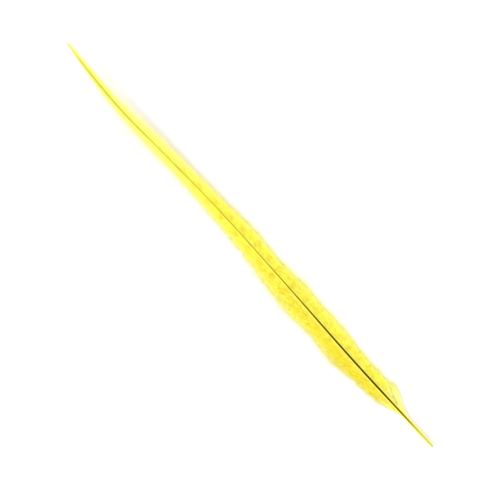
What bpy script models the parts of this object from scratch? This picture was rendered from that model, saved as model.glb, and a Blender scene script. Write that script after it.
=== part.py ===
# Long tail feather lying on a flat stretch of its shaft near the quill and on the edges of its vanes.
# Its shaft arches up from there, and its tip is curved up off the surface.
# +X runs towards the tip and +Z is up. The origin is the middle of the underside of the bounding box.
# A place on the feather is given by its distance from the tip and its distance out from the shaft.

from math import pi, radians

import bpy
import numpy as np

MM = 0.001

# The whole feather
LENGTH = 544 * MM
TIP_RISE = 18 * MM
RISE_FROM = 462.4 * MM
RISE_POWER = 3.2
QUILL_RISE = 1.6 * MM
QUILL_RISE_FROM = 476 * MM
QUILL_RISE_POWER = 1.5

# The shaft's middle line seen from above: distance from the tip, distance towards +Y
SHAFT_LINE = (
    (0 * MM, 2.0 * MM),
    (40 * MM, 5.4 * MM),
    (84 * MM, 6.9 * MM),
    (145 * MM, 4.2 * MM),
    (215 * MM, 1.2 * MM),
    (310 * MM, 0.6 * MM),
    (430 * MM, 1.5 * MM),
    (544 * MM, 0.0 * MM),
)

# The shaft's width: distance from the tip, width
SHAFT_WIDTH = (
    (0 * MM, 0.8 * MM),
    (150 * MM, 1.4 * MM),
    (300 * MM, 2.2 * MM),
    (430 * MM, 3.1 * MM),
    (505 * MM, 3.8 * MM),
    (530 * MM, 3.6 * MM),
    (544 * MM, 2.4 * MM),
)
SHAFT_HEIGHT = 0.95
SHAFT_SIDES = 12
SHAFT_STATIONS = 41
RACHIS_SQUARENESS = 3.0
QUILL_FROM = 500 * MM
QUILL_BLEND = 25 * MM

# The two vanes' widths, out from the shaft: distance from the tip, width
WIDE_VANE = (
    (0 * MM, 0.7 * MM),
    (25 * MM, 2.6 * MM),
    (105 * MM, 6.4 * MM),
    (170 * MM, 7.4 * MM),
    (245 * MM, 12.4 * MM),
    (300 * MM, 16.4 * MM),
    (345 * MM, 18.7 * MM),
    (382 * MM, 16.8 * MM),
    (404 * MM, 18.9 * MM),
    (440 * MM, 15.4 * MM),
    (472 * MM, 10.6 * MM),
    (494 * MM, 3.4 * MM),
)
NARROW_VANE = (
    (0 * MM, 0.7 * MM),
    (25 * MM, 3.2 * MM),
    (105 * MM, 7.5 * MM),
    (165 * MM, 9.9 * MM),
    (230 * MM, 12.6 * MM),
    (268 * MM, 13.6 * MM),
    (298 * MM, 12.0 * MM),
    (340 * MM, 15.0 * MM),
    (388 * MM, 15.8 * MM),
    (432 * MM, 13.0 * MM),
    (466 * MM, 12.2 * MM),
    (494 * MM, 4.0 * MM),
)
VANE_END = 494 * MM

# The locks that make up each vane
LOCKS_A_SIDE = 34
LOCK_CROWDING = 1.3
FIRST_POINT = 1 * MM
LOCK_STATIONS = 9
LOCK_THICKNESS = ((0 * MM, 0.35 * MM), (200 * MM, 0.55 * MM), (500 * MM, 0.75 * MM))
LOCK_ANGLE = (
    (0 * MM, radians(8)),
    (40 * MM, radians(13)),
    (130 * MM, radians(24)),
    (420 * MM, radians(31)),
    (500 * MM, radians(36)),
)
STATION_CROWDING = 0.82
LOCK_SWEEP = 0.5
ROOT_OVERLAP = 0.62
EDGE_OVERLAP = 0.6
BACK_EDGE_POWER = 3
FORE_EDGE_POWER = 2.2
POINT_WIDTH = 0.5 * MM
TIP_CLOSING = 0.8
ROOT_PAST_MIDDLE = 0.2 * MM
SHINGLE_TILT = 0.32
ROOT_HEIGHT = 0.52
DROOP_POWER = 1.4

# The edges of the vanes: each touches the surface at one place, clears it elsewhere and rises to the tip
WIDE_VANE_TOUCH = 290 * MM
NARROW_VANE_TOUCH = 345 * MM
TOUCH_LENGTH = 30 * MM
EDGE_CLEARANCE = 0.8 * MM
EDGE_RISE_LENGTH = 150 * MM
BELOW_MIDDLE = 0.6

# Places where the barbs have parted: distance from the tip, opening at the edge, length of edge disturbed
WIDE_VANE_SPLITS = ((271 * MM, 3.4 * MM, 16 * MM), (443 * MM, 3.0 * MM, 14 * MM))
NARROW_VANE_SPLITS = ((322 * MM, 2.2 * MM, 14 * MM), (418 * MM, 2.4 * MM, 14 * MM))

# The vane on each side: its widths, its splits and the place where its edge touches
VANES = {
    1: (WIDE_VANE, WIDE_VANE_SPLITS, WIDE_VANE_TOUCH),
    -1: (NARROW_VANE, NARROW_VANE_SPLITS, NARROW_VANE_TOUCH),
}

# Loose locks at the foot of the vanes: side, root and point from the tip, reach from the shaft, width
LOOSE_LOCKS = (
    (-1, 500 * MM, 468 * MM, 16.6 * MM, 6.5 * MM),
    (-1, 509 * MM, 492 * MM, 5.2 * MM, 3.6 * MM),
    (1, 507 * MM, 490 * MM, 4.6 * MM, 3.6 * MM),
)
LOOSE_LIFT = 0.35 * MM

FEATHER_YELLOW = (0.92, 0.72, 0.03, 1.0)
FEATHER_ROUGHNESS = 0.6


def smooth_curve(points, at):
    # A cubic curve through the points, whose slope at each comes from its two neighbours.
    knot, value = np.array(points, float).T
    slope = np.gradient(value, knot)
    i = np.clip(np.searchsorted(knot, at) - 1, 0, len(knot) - 2)
    span = knot[i + 1] - knot[i]
    t = np.clip((at - knot[i]) / span, 0, 1)
    rise = value[i + 1] - value[i]
    bend_in = slope[i] * span - rise
    bend_out = rise - slope[i + 1] * span
    return value[i] + t * rise + t * (1 - t) * ((1 - t) * bend_in + t * bend_out)


def quill_rise(from_tip):
    # Height of the quill's underside, which curves up a little towards its end.
    share = np.clip((from_tip - QUILL_RISE_FROM) / (LENGTH - QUILL_RISE_FROM), 0, None)
    return QUILL_RISE * share**QUILL_RISE_POWER


def tip_rise(from_tip):
    # Height of the shaft's underside on the way to the tip.
    return TIP_RISE * np.clip(1 - from_tip / RISE_FROM, 0, None) ** RISE_POWER


def shaft_floor(from_tip):
    # Height of the shaft's underside: flat near the quill, and curved up to both ends.
    return tip_rise(from_tip) + quill_rise(from_tip)


def place(from_tip, out, side, height):
    # Turns places on the feather into points in space.
    across = smooth_curve(SHAFT_LINE, from_tip) + side * out
    return np.stack([-from_tip, across, height], axis=-1)


def tube(rings):
    # Closed skin over rings of points: a quad between neighbouring rings and a face at each end.
    count, sides = rings.shape[:2]
    ring = np.arange(count - 1)[:, None] * sides
    corner = np.arange(sides)
    after = (corner + 1) % sides
    quads = np.stack([ring + corner, ring + after, ring + sides + after, ring + sides + corner], -1)
    ends = [list(range(sides))[::-1], list(range((count - 1) * sides, count * sides))]
    return rings.reshape(-1, 3), quads.reshape(-1, 4).tolist() + ends


def shaft_skin():
    # A rounded square along the vanes that turns into the round quill, with a flat side down.
    from_tip = np.linspace(LENGTH, 0, SHAFT_STATIONS)
    width = smooth_curve(SHAFT_WIDTH, from_tip)
    height = SHAFT_HEIGHT * width
    quill = np.clip((from_tip - QUILL_FROM) / QUILL_BLEND + 1, 0, 1)
    squareness = RACHIS_SQUARENESS + (2 - RACHIS_SQUARENESS) * quill
    turn = 2 * pi * (np.arange(SHAFT_SIDES) + 0.5) / SHAFT_SIDES
    power = 2 / squareness[:, None]
    out = np.sign(np.cos(turn)) * np.abs(np.cos(turn)) ** power
    up = np.sign(np.sin(turn)) * np.abs(np.sin(turn)) ** power
    up = (up - up.min(1, keepdims=True)) / 2
    rings = place(
        from_tip[:, None] + 0 * out,
        out * width[:, None] / 2,
        1,
        shaft_floor(from_tip)[:, None] + up * height[:, None],
    )
    return tube(rings)


def edge_height(side, from_tip):
    # Height of the middle of the locks at the vane's edge: on the surface where they touch, and rising
    # from there until the edge is level with the shaft.
    touch = VANES[side][2]
    rise = tip_rise(from_tip) * np.clip((touch - from_tip) / EDGE_RISE_LENGTH, 0, 1)
    clear = 1 - np.exp(-(((from_tip - touch) / TOUCH_LENGTH) ** 2))
    clear = EDGE_CLEARANCE * clear * np.clip(from_tip / touch, 0, 1)
    return rise + clear + quill_rise(from_tip) + BELOW_MIDDLE * smooth_curve(LOCK_THICKNESS, from_tip)


def vane_height(side, from_tip, out):
    # The vane leaves the shaft's sides above their middle and droops outwards to its edge.
    root = shaft_floor(from_tip) + ROOT_HEIGHT * SHAFT_HEIGHT * smooth_curve(SHAFT_WIDTH, from_tip)
    width = smooth_curve(VANES[side][0], np.clip(from_tip, 0, VANE_END))
    droop = np.clip(out / width, 0, 1) ** DROOP_POWER
    return root + (edge_height(side, from_tip) - root) * droop


def lock_skin(side, root, point, reach, spacing, lift=0.0):
    # A flat blade from its root on the shaft, swept towards the feather's tip. Its back edge curves round
    # to a point at its fore edge, and its fore edge lies a little higher, over the next lock.
    along = np.linspace(0, 1, LOCK_STATIONS) ** STATION_CROWDING
    out = reach * along * (1 + LOCK_SWEEP * (1 - along)) - ROOT_PAST_MIDDLE * (1 - along)
    middle = root + (point - root) * along
    back = spacing * (ROOT_OVERLAP + EDGE_OVERLAP * along) * (1 - along**BACK_EDGE_POWER)
    back = back + POINT_WIDTH / 2
    fore = spacing * ROOT_OVERLAP * (1 - along**FORE_EDGE_POWER) + POINT_WIDTH / 2
    fore = np.minimum(fore, TIP_CLOSING * middle)
    edges = np.array([-1, 1, 1, -1])
    top = np.array([1, 1, -1, -1])
    from_tip = middle[:, None] + np.where(edges > 0, back[:, None], -fore[:, None])
    across = out[:, None] + 0 * from_tip
    thickness = smooth_curve(LOCK_THICKNESS, from_tip)
    width = fore + back
    tilt = SHINGLE_TILT * thickness * edges * (width / width.max())[:, None]
    height = vane_height(side, from_tip, across) + lift - tilt + top * thickness / 2
    rings = place(from_tip, across, side, height)
    # On the -Y side the corners run the other way round, so that the faces still point out.
    return tube(rings if side > 0 else rings[:, ::-1])


def parted(point, splits):
    # Moves the points of the locks away from each split, most for the two nearest.
    moved = point.copy()
    for centre, opening, spread in splits:
        apart = point - centre
        moved += opening / 2 * np.sign(apart) * np.exp(-((apart / spread) ** 2))
    return moved


def vane_skins(side):
    # Points along the vane's edge, closer near the tip, each traced back along its barbs to its root.
    vane, splits, _ = VANES[side]
    share = np.linspace(0, 1, LOCKS_A_SIDE) ** LOCK_CROWDING
    edge = FIRST_POINT + (VANE_END - FIRST_POINT) * share
    reach = smooth_curve(vane, edge)
    roots = edge + reach / np.tan(smooth_curve(LOCK_ANGLE, edge))
    spacing = np.gradient(roots)
    points = parted(edge, splits)
    return [
        lock_skin(side, root, point, out, gap)
        for root, point, out, gap in zip(roots, points, reach, spacing)
    ]


def mesh_object(name, skins, origin):
    points = np.concatenate([p for p, _ in skins]) - origin
    faces, first = [], 0
    for p, skin in skins:
        faces += [[first + corner for corner in face] for face in skin]
        first += len(p)
    mesh = bpy.data.meshes.new(name)
    mesh.from_pydata(points.tolist(), [], faces)
    mesh.update()
    made = bpy.data.objects.new(name, mesh)
    bpy.context.scene.collection.objects.link(made)
    return made


def yellow_vane_material():
    material = bpy.data.materials.new("dyed_yellow_feather")
    material.use_nodes = True
    shader = material.node_tree.nodes["Principled BSDF"]
    shader.inputs["Base Color"].default_value = FEATHER_YELLOW
    shader.inputs["Roughness"].default_value = FEATHER_ROUGHNESS
    shader.inputs["Metallic"].default_value = 0.0
    return material


def build_feather():
    shaft = shaft_skin()
    locks = vane_skins(1) + vane_skins(-1)
    for side, root, point, reach, width in LOOSE_LOCKS:
        locks.append(lock_skin(side, root, point, reach, width / 2, LOOSE_LIFT))

    # The box of all the points gives the origin.
    every = np.concatenate([p for p, _ in [shaft] + locks])
    low, high = every.min(0), every.max(0)
    origin = np.array([(low[0] + high[0]) / 2, (low[1] + high[1]) / 2, low[2]])

    feather = mesh_object("feather", [shaft], origin)
    blades = mesh_object("locks_to_fuse", locks, origin)
    blades.hide_render = True
    blades.display_type = "WIRE"

    fuse = feather.modifiers.new("fuse_locks", "BOOLEAN")
    fuse.operation = "UNION"
    fuse.solver = "EXACT"
    fuse.use_self = True
    fuse.object = blades
    feather.data.materials.append(yellow_vane_material())
    feather.data.shade_smooth()
    feather.data.set_sharp_from_angle(angle=radians(30))
    return feather


for old in list(bpy.data.objects):
    bpy.data.objects.remove(old, do_unlink=True)
build_feather()
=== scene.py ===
from math import cos, pi, sin

import bpy
import numpy as np
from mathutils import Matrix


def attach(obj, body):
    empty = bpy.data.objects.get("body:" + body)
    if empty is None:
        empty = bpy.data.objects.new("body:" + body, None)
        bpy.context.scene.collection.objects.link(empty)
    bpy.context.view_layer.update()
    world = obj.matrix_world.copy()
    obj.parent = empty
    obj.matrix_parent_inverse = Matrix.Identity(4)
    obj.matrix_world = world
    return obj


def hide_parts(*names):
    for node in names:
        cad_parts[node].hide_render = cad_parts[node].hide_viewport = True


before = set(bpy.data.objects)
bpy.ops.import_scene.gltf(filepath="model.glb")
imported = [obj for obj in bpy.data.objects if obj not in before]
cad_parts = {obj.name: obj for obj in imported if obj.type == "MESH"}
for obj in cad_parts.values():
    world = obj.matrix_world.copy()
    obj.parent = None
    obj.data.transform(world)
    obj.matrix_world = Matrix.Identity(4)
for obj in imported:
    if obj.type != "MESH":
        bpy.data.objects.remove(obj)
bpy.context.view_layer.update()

# A long yellow tail feather on a pale floor. A place on it is given by its distance from the tip along the
# shaft's line and its distance out from that line, both in millimetres; the meshes, bumps and studio are in
# metres. A list of pairs gives a value, such as a width, at each of some distances from the tip.
mm = 0.001
mapUnit = 10.0          # millimetres to one unit of the UV maps called place, barbLine and unrolled

feather = {
    "length": 544.0,
    "lineShift": 2.291,                 # how far the box's middle lies from the line's zero
    "shaftLine": ((0, 2.0), (40, 5.4), (84, 6.9), (145, 4.2), (215, 1.2), (310, 0.6), (430, 1.5),
                  (544, 0.0)),
    "shaftWidth": ((0, 0.8), (150, 1.4), (300, 2.2), (430, 3.1), (505, 3.8), (530, 3.6), (544, 2.4)),
    "tipRise": 18.0, "riseFrom": 462.4, "risePower": 3.2,
    "quillRise": 1.6, "quillRiseFrom": 476.0, "quillRisePower": 1.5,
    "vaneEnd": 494.0,
    "leastFromTip": 0.2,                # kept by every barb
}

# The vane on each side, 1 towards +Y and -1 towards -Y: its outline, the share of it that the barbs reach,
# its splits (distance from the tip, opening, length disturbed) and where its edge touches the floor
vanes = {
    1: {
        "outline": ((0, 0.7), (25, 2.6), (105, 6.4), (170, 7.4), (245, 12.4), (300, 16.4), (345, 18.7),
                    (382, 16.8), (404, 18.9), (440, 15.4), (472, 10.6), (494, 3.4)),
        "reach": ((0, 0.8), (25, 0.58), (50, 0.74), (90, 0.80), (130, 0.95), (200, 0.93), (265, 0.82),
                  (320, 0.96), (380, 0.95), (420, 0.9), (460, 0.92), (478, 0.96), (486, 0.72),
                  (494, 0.55)),
        "splits": ((271, 3.4, 16), (443, 3.0, 14)),
        "touch": 290.0,
    },
    -1: {
        "outline": ((0, 0.7), (25, 3.2), (105, 7.5), (165, 9.9), (230, 12.6), (268, 13.6), (298, 12.0),
                    (340, 15.0), (388, 15.8), (432, 13.0), (466, 12.2), (494, 4.0)),
        "reach": ((0, 1.3), (30, 0.9), (60, 0.84), (90, 0.92), (120, 1.0), (150, 0.94), (200, 0.83),
                  (250, 0.92), (300, 0.93), (330, 0.96), (360, 0.85), (415, 0.91), (440, 0.88),
                  (462, 0.90), (478, 1.02), (494, 1.0)),
        "splits": ((322, 2.2, 14), (418, 2.4, 14)),
        "touch": 345.0,
    },
}

vaneShape = {
    "angle": ((0, 8), (40, 13), (130, 24), (420, 31), (500, 36)),   # degrees between barb and shaft
    "sweep": 0.5,                       # how much a barb bends towards the tip
    "edgeStart": 0.5, "edgeSteps": 2000,    # where the outline's first point is taken, and how many are
    "shaftHeight": 0.95,                # share of the shaft's width
    "rootHeight": 0.52,                 # share of the shaft's height where the barbs leave it
    "thickness": ((0, 0.35), (200, 0.55), (500, 0.75)),
    "belowMiddle": 0.6, "droopPower": 1.4,
    "touchLength": 30.0, "edgeClearance": 0.8, "edgeRiseLength": 150.0,
    "aboveFloor": 0.06,
}


def smoothCurve(points, at):
    # Cubic through the points whose slope at each comes from its two neighbours.
    knot, value = np.array(points, float).T
    slope = np.gradient(value, knot)
    i = np.clip(np.searchsorted(knot, at) - 1, 0, len(knot) - 2)
    span = knot[i + 1] - knot[i]
    t = np.clip((at - knot[i]) / span, 0, 1)
    rise = value[i + 1] - value[i]
    bendIn, bendOut = slope[i] * span - rise, rise - slope[i + 1] * span
    return value[i] + t * rise + t * (1 - t) * ((1 - t) * bendIn + t * bendOut)


def smoothStep(low, high, at):
    # 0 below low, 1 above high, and between them three times the share's square less twice its cube
    t = np.clip((at - low) / (high - low), 0, 1)
    return t * t * (3 - 2 * t)


def between(pair, share):
    # from the first number to the second by a share
    return pair[0] + (pair[1] - pair[0]) * share


def quillRise(s):
    # quillRise times the share of the way to the quill's end, to a power
    way = feather["length"] - feather["quillRiseFrom"]
    share = np.clip((s - feather["quillRiseFrom"]) / way, 0, None)
    return feather["quillRise"] * share ** feather["quillRisePower"]


def tipRise(s):
    # tipRise times the share of the way to the tip, to a power
    return feather["tipRise"] * np.clip(1 - s / feather["riseFrom"], 0, None) ** feather["risePower"]


def shaftFloor(s):
    # height of the shaft's underside, which curves up to both ends
    return tipRise(s) + quillRise(s)


def shaftWidth(s):
    # width of the solid's shaft
    return smoothCurve(feather["shaftWidth"], s)


def edgeHeight(side, s):
    # middle of the vane's edge: on the floor at the touching place, and level with the shaft further on
    touch = vanes[side]["touch"]
    rise = tipRise(s) * np.clip((touch - s) / vaneShape["edgeRiseLength"], 0, 1)
    clear = 1 - np.exp(-(((s - touch) / vaneShape["touchLength"]) ** 2))
    clear = vaneShape["edgeClearance"] * clear * np.clip(s / touch, 0, 1)
    return rise + clear + quillRise(s) + vaneShape["belowMiddle"] * smoothCurve(vaneShape["thickness"], s)


def vaneHeight(side, s, out):
    # from the barbs' roots on the shaft down to the vane's edge, by the share of the width to a power
    root = shaftFloor(s) + vaneShape["rootHeight"] * vaneShape["shaftHeight"] * shaftWidth(s)
    width = smoothCurve(vanes[side]["outline"], np.clip(s, 0, feather["vaneEnd"]))
    droop = np.clip(out / width, 0, 1) ** vaneShape["droopPower"]
    return root + (edgeHeight(side, s) - root) * droop


def sideBySide(*values):
    # one array of all the values, each repeated as often as the others need, with them along its last axis
    return np.stack(np.broadcast_arrays(*values), -1)


def inSpace(s, across, height):
    # x is half the length less s, y is the shaft's line plus the distance across, all in metres
    x = feather["length"] / 2 - s
    y = smoothCurve(feather["shaftLine"], s) - feather["lineShift"] + across
    return sideBySide(x, y, height) * mm


def ringQuads(rings, corners):
    # Quads from each ring of points to the next, from corner to corner round it.
    ring, corner = np.arange(rings - 1)[:, None] * corners, np.arange(corners)
    after = (corner + 1) % corners
    quads = sideBySide(ring + corner, ring + after, ring + corners + after, ring + corners + corner)
    return quads.reshape(-1, 4)


def makePiece(name, points, quads, maps, tones, material):
    # One mesh object from arrays: points (n, 3), quads (m, 4), maps (m, 4, 2) of two coordinates for each
    # corner of each face, and tones (n) of one number for each point. The faces are turned round if the
    # volume that they close is negative.
    a, b, c, d = (points[quads[:, k]] for k in range(4))
    volume = np.einsum("ij,ij->", a, np.cross(b, c)) + np.einsum("ij,ij->", a, np.cross(c, d))
    if volume < 0:
        quads = quads[:, ::-1]
        maps = {mapName: values[:, ::-1] for mapName, values in maps.items()}
    mesh = bpy.data.meshes.new(name)
    mesh.vertices.add(len(points))
    mesh.vertices.foreach_set("co", points.astype(np.float32).ravel())
    mesh.loops.add(quads.size)
    mesh.loops.foreach_set("vertex_index", quads.astype(np.int32).ravel())
    mesh.polygons.add(len(quads))
    mesh.polygons.foreach_set("loop_start", np.arange(0, quads.size, 4, dtype=np.int32))
    mesh.update(calc_edges=True)
    mesh.polygons.foreach_set("use_smooth", np.ones(len(quads), bool))
    for mapName, values in maps.items():
        layer = mesh.uv_layers.new(name=mapName)
        layer.data.foreach_set("uv", values.astype(np.float32).ravel())
    for toneName, values in tones.items():
        layer = mesh.attributes.new(toneName, "FLOAT", "POINT")
        layer.data.foreach_set("value", values.astype(np.float32))
    mesh.validate()
    mesh.materials.append(material)
    piece = bpy.data.objects.new(name, mesh)
    bpy.context.scene.collection.objects.link(piece)
    return piece


# A blade is a thin body with four corners at each station; these are their places across it.
acrossBlade = np.array([0, 0.5, 1, 0.5])
bakeMargin = {"along": 0.02, "across": 0.12}    # share of a blade's place on the map for baking


def bladeQuads(count, stations):
    # Quads round each blade from one station to the next, and one over each end.
    last = (stations - 1) * 4
    ends = np.array([[3, 2, 1, 0], [last, last + 1, last + 2, last + 3]])
    one = np.concatenate([ringQuads(stations, 4), ends])
    return (np.arange(count)[:, None, None] * stations * 4 + one).reshape(-1, 4)


def blades(centre, halfWidth, halfThick, tilt):
    # A blade along each line of centre (count, stations, 3): its corners lie a half width to each side and
    # a half thickness above and below, turned about the line by tilt.
    along = np.gradient(centre, axis=1)
    along /= np.linalg.norm(along, axis=2, keepdims=True)
    sideways = np.cross(along, [0, 0, 1.0])
    sideways /= np.linalg.norm(sideways, axis=2, keepdims=True)
    upward = np.cross(sideways, along)
    turned = np.cos(tilt)[..., None] * sideways + np.sin(tilt)[..., None] * upward
    raised = np.cross(turned, along)
    wide, thick = turned * halfWidth[..., None], raised * halfThick[..., None]
    return np.stack([centre - wide, centre + thick, centre + wide, centre - thick], 2)


def bakeRows(count, stations, columns):
    # A map with a place for each blade, in rows and columns: its length along the row and its four corners
    # across it, inside a margin, so that every face has some width on the map.
    rows = -(-count // columns)
    column, row = np.arange(count) % columns, np.arange(count) // columns
    aside, above = bakeMargin["along"], bakeMargin["across"]
    share = np.linspace(0, 1, stations)[:, None]
    u = (column[:, None, None] + between((aside, 1 - aside), share)) / columns
    v = (row[:, None, None] + between((above, 1 - above), acrossBlade)) / rows
    return sideBySide(u, v).reshape(-1, 2)


def barbPiece(name, side, s, out, height, halfWidth, halfThick, tilt, tone, along, material, columns):
    # Blades along lines of places on the feather, (count, stations), that keep clear of the floor. The map
    # called place holds the distances from the tip and out, barbLine those of the barb's root from the tip
    # and of the place from that root, and grain the millimetres along the barb and the share across it.
    count, stations = s.shape
    halfWidth, halfThick, tilt, along = (
        np.broadcast_to(value, s.shape) for value in (halfWidth, halfThick, tilt, along))
    centre = inSpace(s, side * out, np.maximum(height, halfThick + vaneShape["aboveFloor"]))
    points = blades(centre, halfWidth * mm, halfThick * mm, tilt)
    step = np.linalg.norm(np.diff(centre, axis=1), axis=2) / mm
    travelled = np.concatenate([np.zeros((count, 1)), np.cumsum(step, 1)], 1)

    def flat(first, second):
        # a number that is the same at a station's four corners beside one that may differ
        return sideBySide(first[..., None] * np.ones(4), second).reshape(-1, 2)

    maps = {
        "place": flat(s / mapUnit, side * out[..., None] / mapUnit),
        "barbLine": flat(s[:, :1] / mapUnit + 0 * s, travelled[..., None] / mapUnit),
        "grain": flat(travelled, acrossBlade),
        "OFBake": bakeRows(count, stations, columns),
    }
    tones = {
        "tone": np.broadcast_to(tone[:, None, None], (count, stations, 4)).ravel(),
        "along": np.broadcast_to(along[..., None], (count, stations, 4)).ravel(),
    }
    quads = bladeQuads(count, stations)
    maps = {mapName: values[quads] for mapName, values in maps.items()}
    return makePiece(name, points.reshape(-1, 3), quads, maps, tones, material)


# Materials

class Value:
    # A socket that holds a number; each operator adds a Math node.
    def __init__(self, shade, socket):
        self.shade, self.socket = shade, socket

    def math(self, operation, *others):
        return self.shade.node("ShaderNodeMath", {"operation": operation}, [self, *others]).value()

    def __add__(self, other):
        return self.math("ADD", other)

    def __sub__(self, other):
        return self.math("SUBTRACT", other)

    def __rsub__(self, other):
        return self.shade.node("ShaderNodeMath", {"operation": "SUBTRACT"}, [other, self]).value()

    def __mul__(self, other):
        return self.math("MULTIPLY", other)

    def __abs__(self):
        return self.math("ABSOLUTE")

    __radd__ = __add__
    __rmul__ = __mul__

    def sine(self):
        return self.math("SINE")

    def varied(self, amount):
        # how far a noise or a tone is from its mean of a half, times an amount
        return (self - 0.5) * amount

    def clipped(self):
        return self.shade.ramp(self, 0, 1, "LINEAR")

    def step(self, low, high):
        # 0 below low and 1 above high, with a smooth rise between them
        return self.shade.ramp(self, low, high, "SMOOTHSTEP")


class Made:
    # A node just added, whose outputs are read by name or number.
    def __init__(self, shade, node):
        self.shade, self.made = shade, node

    def value(self, key=0):
        return Value(self.shade, self.made.outputs[key])

    def output(self, key=0):
        return self.made.outputs[key]


class Shade:
    # A material's nodes, and the one method that adds any of them.
    def __init__(self, name):
        self.material = bpy.data.materials.new(name)
        self.material.use_nodes = True
        self.tree = self.material.node_tree
        self.shader = self.tree.nodes["Principled BSDF"]

    def node(self, kind, settings, inputs):
        made = self.tree.nodes.new(kind)
        for key, value in settings.items():
            setattr(made, key, value)
        pairs = inputs.items() if isinstance(inputs, dict) else enumerate(inputs)
        for key, value in pairs:
            self.put(made.inputs[key], value)
        return Made(self, made)

    def put(self, socket, value):
        if isinstance(value, Value):
            value = value.socket
        if isinstance(value, bpy.types.NodeSocket):
            self.tree.links.new(value, socket)
        else:
            socket.default_value = value

    def ramp(self, value, low, high, kind):
        inputs = {"Value": value, "From Min": low, "From Max": high}
        return self.node("ShaderNodeMapRange", {"interpolation_type": kind, "clamp": True}, inputs).value()

    def mix(self, share, first, second):
        # from the first colour to the second; sockets 6 and 7 of a Mix node take colours, and 2 gives one
        settings = {"data_type": "RGBA", "clamp_factor": True}
        return self.node("ShaderNodeMix", settings, {0: share, 6: first, 7: second}).output(2)

    def map(self, name):
        return self.node("ShaderNodeUVMap", {"uv_map": name}, []).output()

    def parts(self, vector):
        made = self.node("ShaderNodeSeparateXYZ", {}, [vector])
        return made.value(0), made.value(1)

    def attribute(self, name):
        return self.node("ShaderNodeAttribute", {"attribute_name": name}, []).value("Fac")

    def noise(self, vector, stretch, detail):
        # noise over a vector that is stretched by an amount along each axis
        where = self.node("ShaderNodeVectorMath", {"operation": "MULTIPLY"}, [vector, stretch]).output()
        inputs = {"Vector": where, "Scale": 1.0, "Detail": detail}
        return self.node("ShaderNodeTexNoise", {}, inputs).value("Fac")

    def bump(self, height, strength, distance):
        inputs = {"Strength": strength, "Distance": distance, "Height": height}
        self.put(self.shader.inputs["Normal"], self.node("ShaderNodeBump", {}, inputs).output())

    def set(self, **values):
        names = {"color": "Base Color", "roughness": "Roughness", "sheen": "Sheen Weight",
                 "sheenRoughness": "Sheen Roughness", "specular": "Specular IOR Level"}
        for key, value in values.items():
            self.put(self.shader.inputs[names[key]], value)
        return self.material


dyeAndPaintedLight = {
    "lemon": (0.89, 0.865, 0.062, 1),
    "gold": (0.845, 0.705, 0.020, 1),
    "bar": (0.82, 0.59, 0.011, 1),
    "edge": (0.985, 0.98, 0.085, 1),        # painted light, brighter than the dye, over the outer part of the barbs
    "pale": (0.98, 0.965, 0.30, 1),         # at the barbs' ends and over the tip
    "cream": (0.97, 0.95, 0.42, 1),         # at the foot of the vanes
    "root": (0.91, 0.89, 0.28, 1),          # beside the shaft
    "deep": (0.78, 0.57, 0.011, 1),         # single barbs that took more dye
    "moss": (0.60, 0.60, 0.06, 1),          # beside the shaft near the tip
    "speck": (0.62, 0.50, 0.02, 1),         # small darker spots all over the vanes
}
barbFinish = {"roughness": 0.6, "sheen": 0.05, "sheenRoughness": 0.4, "specular": 0.2}

# What differs between the dye and the painted light of the wide vane, 1, and of the narrow one, -1. These
# are strengths, apart from barShift, mm towards the tip, and creamAt. paintedLight is painted light that
# brightens the barbs' outer part against the shade among them, stronger on the narrow vane, which lies
# towards the weaker lamp; paintedLightLess takes some of it off the wide vane towards the foot.
sideDyeAndPaintedLight = {
    1: {"gold": 0.85, "patches": 1.1, "bars": 0.52, "barShift": 3.5, "paintedLight": 0.3, "paintedLightLess": 0.25,
        "paleFoot": 0.3, "creamAt": (478, 498), "lowGold": 0.26},
    -1: {"gold": 0.06, "patches": 0.8, "bars": 0.42, "barShift": 0.0, "paintedLight": 0.85, "paintedLightLess": 0.0,
         "paleFoot": 0.7, "creamAt": (466, 492), "lowGold": 0.0},
}

# How the dye and the painted light lie. A name that ends in At holds where a change starts and ends, in mm
# from the tip, one in
# Out in mm from the shaft's line, and one in Along as shares of the barb. A noise has its stretch by the
# barb's root and along the barb, and its detail. Other pairs are the least and the most of a strength.
dyeAndPaintedLightLay = {
    "patch": ((0.55, 0.8, 1), 3.0), "streak": ((9, 0.9, 1), 2.0), "speck": ((4, 2.6, 1), 1.0),
    "goldAt": (170, 400), "firstGoldAt": (60, 230), "firstGold": 0.05,
    "goldTone": 0.45, "goldStreak": 0.8, "goldSpeck": 1.6,
    "speckledAt": (170, 330), "speckledLeast": 0.35,
    # painted light over the barbs' outer part: where along the barb it comes in, and where on the wide vane
    # it lessens
    "paintedLightAlong": (0.35, 0.8), "paintedLightLessAt": (320, 410),
    "paleEndAlong": (0.66, 1.0), "paleEnd": 0.9,
    "thinAt": (90, 260), "thinOut": (0.3, 3.0), "thin": (0.12, 0.62),
    "palePointAt": (4, 30), "palePoint": 0.5, "paleFootAt": (458, 490),
    "paleStreak": 1.1, "paleSpeck": 0.8,
    "creamAlong": (0.0, 0.7), "cream": (0.1, 0.7),
    "lowGoldAt": (355, 425),
    "rootAlong": (0.0, 0.16), "rootAt": (150, 350), "root": 0.75,
    "mossOut": (0.3, 1.9), "mossAt": (2, 36), "mossEndAt": (60, 130), "moss": 0.62,
    "deepTone": 0.28, "deepRate": 3.0, "deep": 0.55,        # barbs of a tone below the first are deeper
    "darkSpeck": (0.52, 0.68), "dark": 0.6,                 # of the speck noise, none and in full
    "ribs": (60, 2), "ribStreak": 0.6,                      # radians for each mm along, and over the width
    "bump": (0.25, 0.00006),                                # strength, and depth in metres
}

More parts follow.
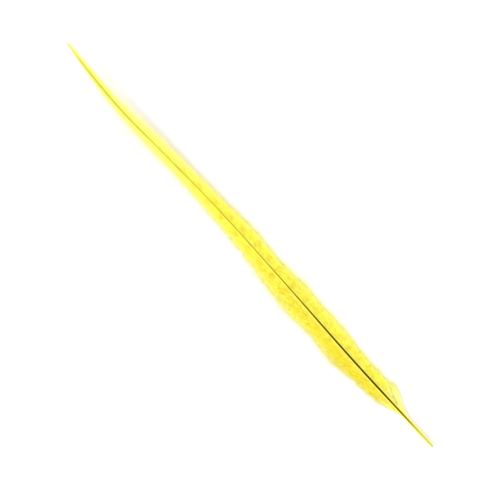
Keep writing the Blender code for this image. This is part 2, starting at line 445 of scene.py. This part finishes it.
# Bars cross the vanes. The count of bars from the first one grows with s and with its square, so that
# they stand closer together towards the quill: 24 mm apart at the first bar and 15 mm at the last.
bars = {
    "first": 148.0, "even": 0.0293, "closing": 4.13e-5,
    "slant": 0.12,                          # mm towards the tip for each mm out
    "patches": 0.8, "sharp": (0.1, 0.95),   # of the wave, where a bar starts and is full
    "startAt": (120, 185), "endAt": (410, 470),
    "fadeAlong": (0.15, 0.85), "fade": 0.75, "streaky": (0.6, 1.4),
}


def vaneMaterial(name, side):
    # Lemon dye that turns to gold along the wide vane, pale at the barbs' ends and over the tip, with
    # painted light that brightens the barbs' outer part. The bars are the sine of their count; they fade
    # outwards, and noise that runs along the barbs breaks them. Each barb has its own tone.
    shade = Shade(name)
    own, lay = sideDyeAndPaintedLight[side], dyeAndPaintedLightLay
    barbLine = shade.map("barbLine")
    fromTip, fromLine = shade.parts(shade.map("place"))
    s, out = fromTip * mapUnit, abs(fromLine) * mapUnit
    tone, along = shade.attribute("tone"), shade.attribute("along")
    patch, streak, speck = (shade.noise(barbLine, *lay[kind]) for kind in ("patch", "streak", "speck"))
    speckled = between((lay["speckledLeast"], 1), s.step(*lay["speckledAt"]))

    gold = s.step(*lay["goldAt"]) * own["gold"] + s.step(*lay["firstGoldAt"]) * lay["firstGold"]
    gold = gold + patch.varied(own["patches"]) + tone.varied(lay["goldTone"])
    gold = gold + streak.varied(lay["goldStreak"]) + speck.varied(lay["goldSpeck"]) * speckled
    color = shade.mix(gold.clipped(), dyeAndPaintedLight["lemon"], dyeAndPaintedLight["gold"])

    at = s + out * bars["slant"] + own["barShift"]
    count = (at - bars["first"]) * bars["even"] + (at * at - bars["first"] ** 2) * bars["closing"]
    wave = (count * (2 * pi) + pi / 2).sine() + patch.varied(bars["patches"])
    shown = wave.step(*bars["sharp"]) * s.step(*bars["startAt"]) * (1 - s.step(*bars["endAt"]))
    shown = shown * (1 - along.step(*bars["fadeAlong"]) * bars["fade"]) * own["bars"]
    color = shade.mix((shown * between(bars["streaky"], streak)).clipped(), color, dyeAndPaintedLight["bar"])

    # painted light: the barbs' outer part goes towards the edge colour to make up for the shade among the
    # barbs
    paintedLightShare = own["paintedLight"] - own["paintedLightLess"] * s.step(*lay["paintedLightLessAt"])
    color = shade.mix(along.step(*lay["paintedLightAlong"]) * paintedLightShare, color, dyeAndPaintedLight["edge"])

    thin = (1 - s.step(*lay["thinAt"])) * between(lay["thin"], out.step(*lay["thinOut"]))
    paler = along.step(*lay["paleEndAlong"]) * lay["paleEnd"] + thin
    paler = paler + (1 - s.step(*lay["palePointAt"])) * lay["palePoint"]
    paler = paler + s.step(*lay["paleFootAt"]) * own["paleFoot"]
    paler = paler + streak.varied(lay["paleStreak"]) - speck.varied(lay["paleSpeck"])
    color = shade.mix(paler.clipped(), color, dyeAndPaintedLight["pale"])
    creamy = s.step(*own["creamAt"]) * between(lay["cream"], along.step(*lay["creamAlong"]))
    color = shade.mix(creamy, color, dyeAndPaintedLight["cream"])
    if own["lowGold"]:
        color = shade.mix(s.step(*lay["lowGoldAt"]) * own["lowGold"], color, dyeAndPaintedLight["gold"])

    rooted = (1 - along.step(*lay["rootAlong"])) * s.step(*lay["rootAt"]) * lay["root"]
    color = shade.mix(rooted, color, dyeAndPaintedLight["root"])
    mossy = (1 - out.step(*lay["mossOut"])) * s.step(*lay["mossAt"]) * (1 - s.step(*lay["mossEndAt"]))
    color = shade.mix(mossy * lay["moss"], color, dyeAndPaintedLight["moss"])
    deeper = ((lay["deepTone"] - tone) * lay["deepRate"]).clipped() * lay["deep"]
    color = shade.mix(deeper * (1 - paler).clipped(), color, dyeAndPaintedLight["deep"])
    color = shade.mix(speck.step(*lay["darkSpeck"]) * lay["dark"] * speckled, color, dyeAndPaintedLight["speck"])
    shade.bump(barbRibs(shade, lay["ribs"]) + lay["ribStreak"] * streak, *lay["bump"])
    return shade.set(color=color, **barbFinish)


def barbRibs(shade, ribs):
    # the sine of the first number times the millimetres along the barb plus the second times the share
    # across it
    grainAlong, grainAcross = shade.parts(shade.map("grain"))
    return (grainAlong * ribs[0] + grainAcross * ribs[1]).sine()


horn = {
    "black": (0.060, 0.031, 0.0005, 1),
    "brown": (0.18, 0.11, 0.001, 1),
    "olive": (0.32, 0.29, 0.004, 1),
    "moss": (0.42, 0.43, 0.09, 1),          # the stripe at the tip and on the quill
    "flank": (0.97, 0.945, 0.24, 1),
    "amber": (0.98, 0.93, 0.07, 1),         # the flank along the middle of the feather
    "border": (0.95, 0.87, 0.012, 1),       # close beside the stripe
    "quill": (0.95, 0.93, 0.31, 1),
    # half the dark stripe's width, mm, at distances from the tip
    "stripe": ((0, 0.7), (60, 0.45), (130, 0.37), (220, 0.43), (300, 0.48), (340, 0.63), (380, 0.86),
               (420, 1.03), (460, 1.06), (490, 1.02), (510, 1.0), (526, 1.0), (544, 0.95)),
    # the stripe's colour, from moss at the tip: where each change starts and ends, and what it ends in
    "tints": ((30, 110, "olive"), (200, 310, "brown"), (300, 375, "black"), (468, 500, "brown"),
              (494, 520, "olive"), (508, 530, "moss")),
    "specular": 0.02, "roughness": 0.45, "roughnessVaries": 0.2,
}

# How the horn's colours lie: names as in dyeAndPaintedLightLay, but a noise has its stretch along and round
# the shaft, and Out is in mm from the stripe's edge
hornLay = {
    "fleck": ((1.2, 22, 1), 3.0), "mottle": ((0.5, 3, 1), 3.0), "lines": ((0.7, 70, 1), 2.0),
    "amberAt": (120, 240), "amberEndAt": (350, 430), "amberEnd": 0.6, "quillAt": (470, 512),
    "mottleFrom": 0.45, "mottled": 0.8,
    "wobble": 0.22, "soft": 0.10,                           # of the stripe's edge, mm
    "borderOut": (0.15, 0.6), "borderAt": (120, 380), "border": 0.9,
    "fadeAt": (505, 540), "fade": 0.25,
    "fleckFrom": 0.62, "linesFrom": 0.5, "linesBeside": 1.3, "linesOn": 0.5,
    "bumpMottle": 0.5, "bumpLines": 0.7, "bump": (0.25, 0.00008),
}


def shaftMaterial():
    # A stripe along the top, olive near the tip, brown and then nearly black towards the foot of the vanes,
    # and brown to olive again on the quill, between pale flanks that are deeper in colour close beside it.
    # fromStripe is the distance from its edge, and fine dark lines run along the horn.
    shade = Shade("shaftHorn")
    lay = hornLay
    unrolled = shade.map("unrolled")
    s = shade.parts(unrolled)[0] * mapUnit
    fleck, mottle, lines = (shade.noise(unrolled, *lay[kind]) for kind in ("fleck", "mottle", "lines"))
    tint = horn["moss"]
    for start, end, stain in horn["tints"]:
        tint = shade.mix(s.step(start, end), tint, horn[stain])
    amber = s.step(*lay["amberAt"]) * (1 - s.step(*lay["amberEndAt"]) * lay["amberEnd"])
    body = shade.mix(amber, horn["flank"], horn["amber"])
    body = shade.mix(s.step(*lay["quillAt"]), body, horn["quill"])
    body = shade.mix((mottle - lay["mottleFrom"]).clipped() * lay["mottled"], body, horn["olive"])
    edge = shade.attribute("fromStripe") + fleck.varied(lay["wobble"])
    beside = (1 - edge.step(*lay["borderOut"])) * s.step(*lay["borderAt"]) * lay["border"]
    body = shade.mix(beside, body, horn["border"])
    stripe = (1 - edge.step(-lay["soft"], lay["soft"])) * (1 - s.step(*lay["fadeAt"]) * lay["fade"])
    color = shade.mix(stripe, body, tint)
    color = shade.mix((fleck - lay["fleckFrom"]).clipped() * stripe, color, horn["olive"])
    lined = (lines - lay["linesFrom"]).clipped()
    color = shade.mix(lined * lay["linesBeside"] * (1 - stripe), color, horn["olive"])
    color = shade.mix(lined * lay["linesOn"] * stripe, color, horn["moss"])
    shade.bump(fleck + lay["bumpMottle"] * mottle + lay["bumpLines"] * lines, *lay["bump"])
    roughness = horn["roughness"] + fleck.varied(horn["roughnessVaries"])
    return shade.set(color=color, roughness=roughness, specular=horn["specular"])


# Shaft

shaftLook = {
    "stations": 240, "sides": 28, "squareness": 3.0,
    "quillFrom": 500.0, "quillBlend": 25.0,     # round from here on, after a change of this length
    "tipWidth": 0.5, "tipLength": 70.0,     # the tip narrows to this share of the solid's width
    "endRound": 1.3, "endStations": 10, "endOpening": 0.22,
    "pitRings": ((0.6, 0.1), (0.25, 0.5)),  # share of the end's size, depth
    "groove": 0.16, "grooveWidth": 0.35, "grooveAt": (20, 80),
    "ripple": 0.012, "ripplePitch": 0.9, "rippleTurns": 3,  # radians for each mm along, and waves round
}


def makeShaft():
    # Rings along the feather: a rounded square that turns into the round quill, flat below, with a shallow
    # groove along its underside, a thinner tip and a rounded quill end that closes in a small pit.
    sides, endRound, length = shaftLook["sides"], shaftLook["endRound"], feather["length"]
    rounding = np.sin(np.linspace(0, pi / 2, shaftLook["endStations"] + 1)[1:])
    straight = np.linspace(0, length - endRound, shaftLook["stations"])
    s = np.concatenate([straight, length - endRound + endRound * rounding])
    width = shaftWidth(s) * between((shaftLook["tipWidth"], 1), smoothStep(0, shaftLook["tipLength"], s))
    height = vaneShape["shaftHeight"] * width
    close = np.sqrt(np.clip(1 - ((s - (length - endRound)) / endRound).clip(0, None) ** 2, 0, 1))
    close = between((shaftLook["endOpening"], 1), close)[:, None]
    quill = np.clip((s - shaftLook["quillFrom"]) / shaftLook["quillBlend"] + 1, 0, 1)[:, None]
    power = 2 / between((shaftLook["squareness"], 2), quill)
    turn = pi / 2 + 2 * pi * np.arange(sides) / sides
    out = np.sign(np.cos(turn)) * np.abs(np.cos(turn)) ** power
    up = np.sign(np.sin(turn)) * np.abs(np.sin(turn)) ** power
    waves = np.sin(s[:, None] * shaftLook["ripplePitch"] + shaftLook["rippleTurns"] * turn)
    ripple = 1 + shaftLook["ripple"] * waves * quill
    groove = shaftLook["groove"] * np.exp(-((out / shaftLook["grooveWidth"]) ** 2)) * (up < 0)
    groove = groove * (1 - quill) * smoothStep(*shaftLook["grooveAt"], s)[:, None]
    level = shaftFloor(s)[:, None] + height[:, None] * (0.5 + close * (0.5 * up * ripple + groove))
    points = inSpace(s[:, None], out * close * ripple * width[:, None] / 2, level)

    # Two more rings dip into the quill's end, and one point closes each end.
    end = points[-1]
    middle, inward = end.mean(0), np.array([mm, 0, 0])
    pits = [middle + size * (end - middle) + depth * inward for size, depth in shaftLook["pitRings"]]
    rings = np.concatenate([points, pits])
    total = len(rings)
    poles = np.stack([rings[0].mean(0), rings[-1].mean(0)])
    tipPole, quillPole = total * sides, total * sides + 1
    pair = np.arange(0, sides, 2)
    tipCap = sideBySide(pair, tipPole, (pair + 2) % sides, pair + 1)
    last = (total - 1) * sides
    quillCap = sideBySide(last + pair, last + pair + 1, last + (pair + 2) % sides, quillPole)
    quads = np.concatenate([ringQuads(total, sides), tipCap, quillCap])

    # The map for baking has a column for each ring and a row for each corner, and the seam is its edge.
    column, corner = (np.arange(total) + 1) / (total + 1), np.arange(sides)
    start, stop = column[:-1, None], column[1:, None]
    low, high = corner / sides, (corner + 1) / sides
    capRows = sideBySide(pair, pair + 1, pair + 2, pair + 1) / sides
    walls = sideBySide(sideBySide(start, start, stop, stop), sideBySide(low, high, high, low))
    tipMap = sideBySide(sideBySide(column[0], 0, column[0], column[0]), capRows)
    quillMap = sideBySide(sideBySide(column[-1], column[-1], column[-1], 1), capRows)
    bake = np.concatenate([walls.reshape(-1, 4, 2), tipMap, quillMap])

    # Distance round each ring from the middle of its top, the same on both sides.
    half = np.arange(sides // 2 + 1)
    steps = np.linalg.norm(np.diff(rings[:, half], axis=1), axis=2) / mm
    arc = np.concatenate([np.zeros((total, 1)), np.cumsum(steps, 1)], 1)
    arc = np.concatenate([arc, arc[:, 1:-1][:, ::-1]], 1)
    along = np.concatenate([s, np.full(total - len(s), length)])
    unrolled = sideBySide(along[:, None], arc).reshape(-1, 2)
    unrolled = np.concatenate([unrolled, [[0, 0], [length, 0]]]) / mapUnit
    fromStripe = (arc - smoothCurve(horn["stripe"], along)[:, None]).ravel()
    fromStripe = np.concatenate([fromStripe, [0, 0]])
    allPoints = np.concatenate([rings.reshape(-1, 3), poles])
    maps = {"unrolled": unrolled[quads], "OFBake": bake}
    return makePiece("shaft", allPoints, quads, maps, {"fromStripe": fromStripe}, shaftMaterial())


# Vanes

barbs = {
    "count": 1300, "last": 1.0, "stations": 12, "crowding": 0.92, "bakeColumns": 8,
    "halfWidth": (0.25, 0.026), "taper": (3.4, 1.0),        # at the root and the point, mm
    "halfThick": (0.085, 0.022), "widthVaries": (0.9, 1.1),
    "tilt": 0.30, "tiltEase": 0.5,          # radians, each barb over the next, and less of it at the point
    "startOut": 0.32,                       # share of the shaft's width
    "rootJitter": 0.25,                     # share of the barbs' spacing
    "clump": (5, 26),                       # barbs that hang together
    "pull": (0.0, 0.06), "hardPull": (0.07, 0.13), "hardShare": 0.06, "pullPower": 2.6,
    "lean": 0.26, "bendPower": 1.8, "clumpReach": 0.02,     # of a clump, mm, and share of the reach
    "lift": 0.14, "liftVaries": (-0.4, 1), "liftPower": 1.5,
    "stray": 0.4, "strayPower": 3, "length": (0.68, 0.98),  # of a barb, mm, and share of the reach
    "bob": 0.04, "bobPower": 0.5,           # mm up or down between its ends
    "tipNarrow": 0.55, "tipTo": (0, 120), "footNarrow": 0.35, "footFrom": (484, 502),
    "below": 0.0,                           # mm that the roots lie lower
    "toneShares": (0.55, 0.45),             # of the barb's own and of its clump's
}

# A lower layer of broader barbs that closes the web between the clumps
lowerBarbs = {
    **barbs,
    "count": 1000, "last": 0.965, "stations": 9,
    "halfWidth": (0.42, 0.06), "taper": (5.0, 0.9),
    "halfThick": (0.05, 0.02),
    "tilt": 0.1, "pull": (0.0, 0.02), "hardShare": 0.0, "lean": 0.1, "clumpReach": 0.01, "lift": 0.0,
    "stray": 0.3, "length": (0.84, 0.96), "bob": 0.02, "tipNarrow": 0.4, "below": 0.14,
}


def barbRoots(side, count):
    # Even steps along the shaft, and for each the point on the outline that its barb reaches: a point at s
    # comes from the root at s plus its reach over the tangent of the barbs' angle.
    edge = np.linspace(vaneShape["edgeStart"], feather["vaneEnd"], vaneShape["edgeSteps"])
    outline = smoothCurve(vanes[side]["outline"], edge)
    root = edge + outline / np.tan(np.radians(smoothCurve(vaneShape["angle"], edge)))
    roots = np.linspace(root[0], root[-1], count)
    point = np.interp(roots, root, edge)
    reach = smoothCurve(vanes[side]["outline"], point) * smoothCurve(vanes[side]["reach"], point)
    return roots, point, reach


def parted(side, point):
    # how far the splits push each point away: half the opening, fading with the square of the distance
    moved = 0 * point
    for centre, opening, spread in vanes[side]["splits"]:
        apart = point - centre
        moved += opening / 2 * np.sign(apart) * np.exp(-((apart / spread) ** 2))
    return moved


def swept(reach, u):
    # distance out at the share u of a barb: reach u (1 + sweep (1 - u)), steep at first
    return reach[:, None] * u * (1 + vaneShape["sweep"] * (1 - u))


def makeVane(name, side, seed, look):
    # A barb runs from r on the shaft to a point e on the outline: s = r + (e - r) u for u from 0 to 1. Each
    # clump leans, lifts and is drawn together by u to a power, and each barb strays and bobs by itself.
    rng = np.random.default_rng(seed)
    root, point, reach = barbRoots(side, look["count"])
    count = int(look["count"] * look["last"])
    root, point, reach = root[:count], point[:count], reach[:count]
    spacing = root[1] - root[0]
    size = reach / reach.max()
    clump = np.searchsorted(np.cumsum(rng.integers(*look["clump"], count)), np.arange(count), side="right")
    clumps = clump.max() + 1
    middle = np.bincount(clump, root) / np.bincount(clump)
    hard = rng.random(clumps) < look["hardShare"]
    pull = np.where(hard, rng.uniform(*look["hardPull"], clumps), rng.uniform(*look["pull"], clumps))[clump]
    lean = rng.normal(0, look["lean"], clumps)[clump]
    clumpReach = rng.normal(0, look["clumpReach"], clumps)[clump]
    lift = rng.uniform(*look["liftVaries"], clumps)[clump] * look["lift"]
    clumpTone = rng.random(clumps)[clump]

    u = np.linspace(0, 1, look["stations"])[None, :] ** look["crowding"]
    fromMiddle = root - middle[clump]
    root = root + rng.normal(0, look["rootJitter"] * spacing, count)
    bend = (lean * size + parted(side, point))[:, None] * u ** look["bendPower"]
    bend = bend - (fromMiddle * pull)[:, None] * u ** look["pullPower"]
    bend = bend + (rng.normal(0, look["stray"], count) * size)[:, None] * u ** look["strayPower"]
    s = np.maximum(root[:, None] + (point - root)[:, None] * u + bend, feather["leastFromTip"])
    length = rng.uniform(*look["length"], count) + clumpReach
    out = swept(reach * length, u) + look["startOut"] * shaftWidth(root)[:, None] * (1 - u)
    height = vaneHeight(side, s, out) - look["below"] * (1 - u)
    height = height + (lift * size)[:, None] * u ** look["liftPower"]
    height = height + rng.normal(0, look["bob"], count)[:, None] * np.sin(pi * u) ** look["bobPower"]

    power, closing = look["taper"]
    halfWidth = between(look["halfWidth"], 1 - (1 - u ** power) ** closing)
    halfWidth = halfWidth * rng.uniform(*look["widthVaries"], (count, 1))
    narrow = between((look["tipNarrow"], 1), smoothStep(*look["tipTo"], root))
    narrow = narrow * between((1, look["footNarrow"]), smoothStep(*look["footFrom"], root))
    tilt = -side * look["tilt"] * (1 - look["tiltEase"] * u)
    ownShare, clumpShare = look["toneShares"]
    tone = ownShare * rng.random(count) + clumpShare * clumpTone
    return barbPiece(name, side, s, out, height, halfWidth * narrow[:, None], between(look["halfThick"], u),
                     tilt, tone, u, vaneMaterial(name + "Dye", side), look["bakeColumns"])


# Fine hairs along the edges, where the barbs' ends come apart
fringe = {
    "count": 3400, "paths": 4000, "stations": 7, "bakeColumns": 8,
    "from": (0.6, 0.85), "to": (0.88, 1.15),                # along the barb
    "past": 9.0, "pastPower": 1.9, "pastGrowth": 1.5,       # mm past the outline, and few so far
    "pastLean": 1.1,                                        # towards the tip for each mm past
    "drift": 1.1, "curl": 0.2, "curlVaries": (-0.3, 1), "bendPower": 2,
    "halfWidth": (0.045, 0.009), "halfThick": (0.03, 0.006),
}


def makeFringe(name, side, seed):
    # The barbs' own path, from a part of the way along to past the outline, with a sideways drift and an
    # upward curl that grow with the square of the way along the hair.
    rng = np.random.default_rng(seed)
    count = fringe["count"]
    roots, points, reaches = barbRoots(side, fringe["paths"])
    pick = rng.integers(0, len(roots), count)
    root, point, reach = roots[pick], points[pick], reaches[pick]
    size = reach / reaches.max()
    t = np.linspace(0, 1, fringe["stations"])[None, :]
    start, stop = rng.uniform(*fringe["from"], count), rng.uniform(*fringe["to"], count)
    u = start[:, None] + (stop - start)[:, None] * t
    bend = parted(side, point)[:, None] * u ** barbs["bendPower"]
    drift = (rng.normal(0, fringe["drift"], count) * size)[:, None] * t ** fringe["bendPower"]
    past = fringe["past"] * np.sqrt(size) * rng.random(count) ** fringe["pastPower"]
    past = past[:, None] * t ** fringe["pastGrowth"]
    s = root[:, None] + (point - root)[:, None] * u + bend + drift - fringe["pastLean"] * past
    s = np.maximum(s, feather["leastFromTip"])
    out = swept(reach, u) + past
    curl = rng.uniform(*fringe["curlVaries"], count) * fringe["curl"]
    height = vaneHeight(side, s, out) + curl[:, None] * t ** fringe["bendPower"]
    tone = rng.random(count)
    return barbPiece(name, side, s, out, height, between(fringe["halfWidth"], t),
                     between(fringe["halfThick"], t), 0.0, tone, u.clip(0, 1),
                     vaneMaterial(name + "Dye", side), fringe["bakeColumns"])


# Locks of loose barbs at the foot of each vane: root and point from the tip, reach, width, number of barbs
looseLocks = {
    1: ((501.0, 488.0, 3.4, 6.0, 36), (492.0, 471.0, 9.4, 10.0, 84)),
    -1: ((496.0, 469.0, 15.2, 8.0, 110), (503.0, 486.0, 6.6, 9.0, 60)),
}
loose = {
    "stations": 14, "bakeColumns": 4,
    "wander": 1.6, "wanderPower": 2, "wave": 0.4, "waveTurn": (4, 9), "waveStart": (0, 6),
    "length": (0.68, 1.02), "travel": (0.85, 1.08),         # shares of the reach, and of the way along
    "lift": 0.15, "bob": 0.06, "tilt": 0.2, "tone": (0.2, 0.9), "startOut": 0.3,
    "halfWidth": (0.13, 0.055), "widthPower": 1.5, "halfThick": (0.05, 0.018),
    # how the colour goes from cream to pale by tone and along the barb, then part of the way to lemon, and
    # on the wide side to gold
    "paleTone": 0.4, "paleAlong": (0.1, 0.8), "pale": 0.8,
    "lemonAlong": (0.4, 1.0), "lemon": 0.3, "gold": 0.4,
    "ribs": (40, 2), "bump": (0.2, 0.00005),
}


def makeLoose(name, side, seed):
    # Soft barbs spread over each lock's width at its root, waving and wandering more towards their points.
    rng = np.random.default_rng(seed)
    u = np.linspace(0, 1, loose["stations"])[None, :]
    rows = []
    for root, point, reach, width, number in looseLocks[side]:
        start = root + rng.uniform(-0.5, 0.5, number) * width
        wander = rng.normal(0, loose["wander"], number)[:, None] * u ** loose["wanderPower"]
        turn, phase = rng.uniform(*loose["waveTurn"], number), rng.uniform(*loose["waveStart"], number)
        wave = loose["wave"] * np.sin(turn[:, None] * u + phase[:, None]) * u
        travel = (point - root) * u * rng.uniform(*loose["travel"], number)[:, None]
        s = start[:, None] + travel + wander + wave
        far = reach * rng.uniform(*loose["length"], number)
        out = swept(far, u) + loose["startOut"] * shaftWidth(root) * (1 - u)
        rows.append((s, out, rng.uniform(*loose["tone"], number)))
    s, out, tone = (np.concatenate([row[k] for row in rows]) for k in range(3))
    height = vaneHeight(side, s, out) + loose["lift"] * u
    height = height + rng.normal(0, loose["bob"], len(s))[:, None] * u
    tilt = rng.uniform(-loose["tilt"], loose["tilt"], len(s))[:, None]
    return barbPiece(name, side, s, out, height, between(loose["halfWidth"], u ** loose["widthPower"]),
                     between(loose["halfThick"], u), tilt, tone, u, looseMaterial(name + "Dye", side),
                     loose["bakeColumns"])


def looseMaterial(name, side):
    # thinly dyed barbs, cream to pale by their tone and towards their points, warmer on the wide side
    shade = Shade(name)
    tone, along = shade.attribute("tone"), shade.attribute("along")
    pale = tone * loose["paleTone"] + along.step(*loose["paleAlong"]) * loose["pale"]
    color = shade.mix(pale.clipped(), dyeAndPaintedLight["cream"], dyeAndPaintedLight["pale"])
    color = shade.mix(along.step(*loose["lemonAlong"]) * loose["lemon"], color, dyeAndPaintedLight["lemon"])
    if side > 0:
        color = shade.mix(loose["gold"], color, dyeAndPaintedLight["gold"])
    shade.bump(barbRibs(shade, loose["ribs"]), *loose["bump"])
    return shade.set(color=color, **barbFinish)


print("stage: shaft")
pieces = [makeShaft()]
print("stage: vanes")
pieces.append(makeVane("wideVane", 1, 11, barbs))
pieces.append(makeVane("narrowVane", -1, 23, barbs))
pieces.append(makeVane("wideVaneBelow", 1, 41, lowerBarbs))
pieces.append(makeVane("narrowVaneBelow", -1, 43, lowerBarbs))
print("stage: fringes")
pieces.append(makeFringe("wideVaneFringe", 1, 31))
pieces.append(makeFringe("narrowVaneFringe", -1, 37))
print("stage: loose barbs")
pieces.append(makeLoose("looseBarbsWideSide", 1, 5))
pieces.append(makeLoose("looseBarbsNarrowSide", -1, 7))
for piece in pieces:
    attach(piece, "root")
    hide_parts("feather")

# Floor, light and camera

studio = {
    "floorSize": 3.0, "floorColor": (0.89, 0.858, 0.86, 1), "floorRoughness": 0.9, "floorSpecular": 0.1,
    "skyStrength": 0.86, "keySize": 0.9, "keyHeight": 0.75,
    # name, distance to the side and power of the light on each side
    "keys": (("wideSideLight", 0.92, 9.2), ("narrowSideLight", -0.95, 4.9)),
    "lens": 200.0, "sensor": 36.0, "imageWidth": 485, "imageHeight": 484, "clipEnd": 20.0,
    "metresPerPixel": 0.001,
    "tipPixel": (69.0, 42.0), "quillPixel": (433.0, 447.0),
}


def makeFloor():
    # one level square at height 0
    size = studio["floorSize"] / 2
    corners = np.array([[-1, -1, 0], [1, -1, 0], [1, 1, 0], [-1, 1, 0]]) * [size, size, 1.0]
    paint = Shade("paleFloor").set(color=studio["floorColor"], roughness=studio["floorRoughness"],
                                   specular=studio["floorSpecular"])
    floor = makePiece("floor", corners, np.array([[0, 1, 2, 3]]), {}, {}, paint)


def makeLights():
    # A white sky, and a round light on each side that leans to the feather by the angle whose tangent is
    # its distance to the side over its height.
    world = bpy.data.worlds.new("softStudio")
    world.use_nodes = True
    background = world.node_tree.nodes["Background"]
    background.inputs["Color"].default_value = (1, 1, 1, 1)
    background.inputs["Strength"].default_value = studio["skyStrength"]
    bpy.context.scene.world = world
    for name, away, power in studio["keys"]:
        light = bpy.data.lights.new(name, "AREA")
        light.shape, light.size, light.energy = "DISK", studio["keySize"], power
        lamp = bpy.data.objects.new(name, light)
        lamp.location = (0, away, studio["keyHeight"])
        lamp.rotation_euler = (-np.arctan2(away, studio["keyHeight"]), 0, 0)
        bpy.context.scene.collection.objects.link(lamp)


def makeCamera():
    # The camera looks straight down. Its turn lays the feather's length along the line from the tip's
    # pixel to the quill's, and its place puts the middle of that line at the middle of the feather.
    tip, quill = np.array(studio["tipPixel"]), np.array(studio["quillPixel"])
    line = (tip - quill) * [1, -1]
    turn = -np.arctan2(line[1], line[0])
    right, upward = np.array([cos(turn), sin(turn)]), np.array([-sin(turn), cos(turn)])
    centre = np.array([studio["imageWidth"], studio["imageHeight"]]) / 2
    offset = ((tip + quill) / 2 - centre) * [1, -1] * studio["metresPerPixel"]
    middle = np.array([0, -feather["lineShift"] * mm])
    place = middle - offset[0] * right - offset[1] * upward
    distance = studio["lens"] / studio["sensor"] * studio["imageWidth"] * studio["metresPerPixel"]
    data = bpy.data.cameras.new("camera")
    data.lens, data.sensor_width, data.clip_end = studio["lens"], studio["sensor"], studio["clipEnd"]
    camera = bpy.data.objects.new("camera", data)
    camera.location = (place[0], place[1], distance)
    camera.rotation_euler = (0, 0, turn)
    bpy.context.scene.collection.objects.link(camera)
    bpy.context.scene.camera = camera


print("stage: studio")
makeFloor()
makeLights()
makeCamera()
bpy.context.scene.view_settings.view_transform = "Standard"

print("stage: done")
